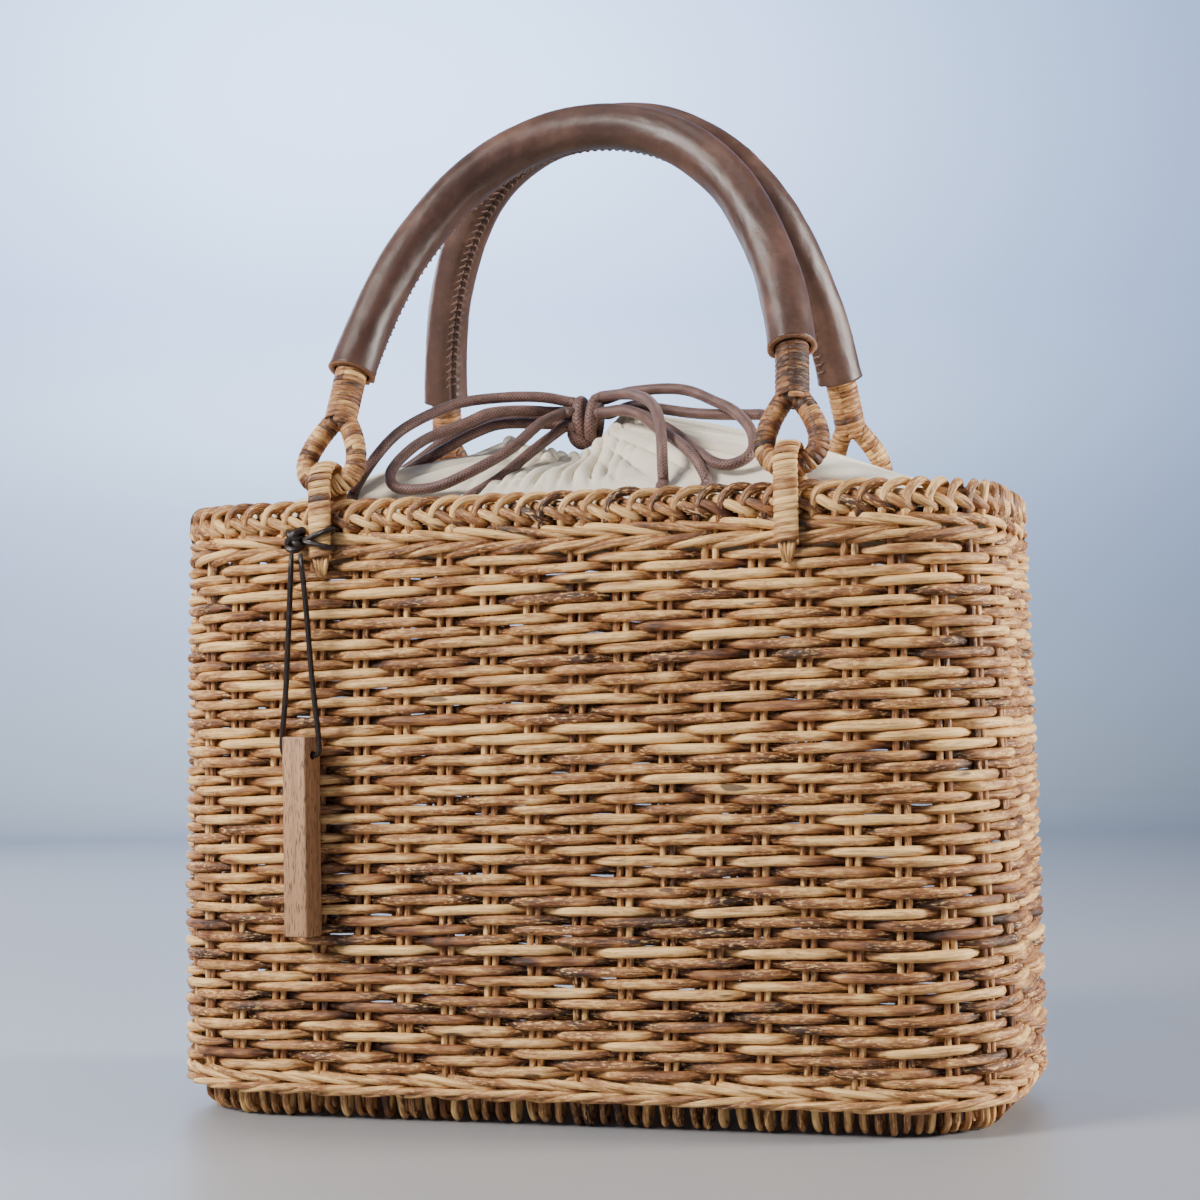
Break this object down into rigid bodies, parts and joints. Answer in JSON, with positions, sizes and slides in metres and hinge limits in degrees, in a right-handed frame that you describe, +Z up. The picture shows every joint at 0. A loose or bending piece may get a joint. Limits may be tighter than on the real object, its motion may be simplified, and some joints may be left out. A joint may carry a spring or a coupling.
{
  "type": "basket bag",
  "caption": "Woven rattan basket bag with two hinged arch handles, leather grips, a drawstring cotton cover and a wooden tag.",
  "frame": {"origin": "on the ground under the middle of the basket, without the cord and the tag", "axes": "+Z up, the front looks towards -Y, the long side lies along X"},
  "size_m": [0.3068, 0.1581, 0.3681],
  "materials": {
    "rattan": "natural woven rattan, satin",
    "rattan_peel": "wrapped rattan peel, satin",
    "leather": "smooth dark brown leather, satin",
    "cotton": "unbleached cotton, matt",
    "waxed_cord": "waxed cotton cord, matt",
    "thong_leather": "dark leather, matt",
    "tag_wood": "oiled bare wood"
  },
  "bodies": {
    "basket": {"basket_wall": "rattan", "basket_base": "rattan", "foot_border": "rattan", "lower_wale": "rattan", "upper_wale": "rattan", "rim_border": "rattan", "rim_staple_front_left": "rattan_peel", "rim_staple_front_right": "rattan_peel", "rim_staple_back_left": "rattan_peel", "rim_staple_back_right": "rattan_peel", "drawstring_cover": "cotton", "drawcord_knot": "waxed_cord", "cord_left_far": "waxed_cord", "cord_left_bow": "waxed_cord", "cord_left_under": "waxed_cord", "cord_left_back": "waxed_cord", "cord_left_near": "waxed_cord", "cord_right_bow": "waxed_cord", "cord_right_tail": "waxed_cord", "cord_right_mid": "waxed_cord", "cord_right_near": "waxed_cord", "tag_thong": "thong_leather", "thong_knot": "thong_leather", "wooden_tag": "tag_wood"},
    "front_handle": {"front_handle_core": "rattan_peel", "front_grip": "leather"},
    "back_handle": {"back_handle_core": "rattan_peel", "back_grip": "leather"}
  },
  "joints": [
    {"name": "front_handle_swing", "type": "hinge", "parent": "basket", "child": "front_handle", "pos_m": [0, -0.06435, 0.2217], "axis": [1, 0, 0], "range_deg": [0, 110]},
    {"name": "back_handle_swing", "type": "hinge", "parent": "basket", "child": "back_handle", "pos_m": [0, 0.06435, 0.2217], "axis": [-1, 0, 0], "range_deg": [0, 110]}
  ]
}
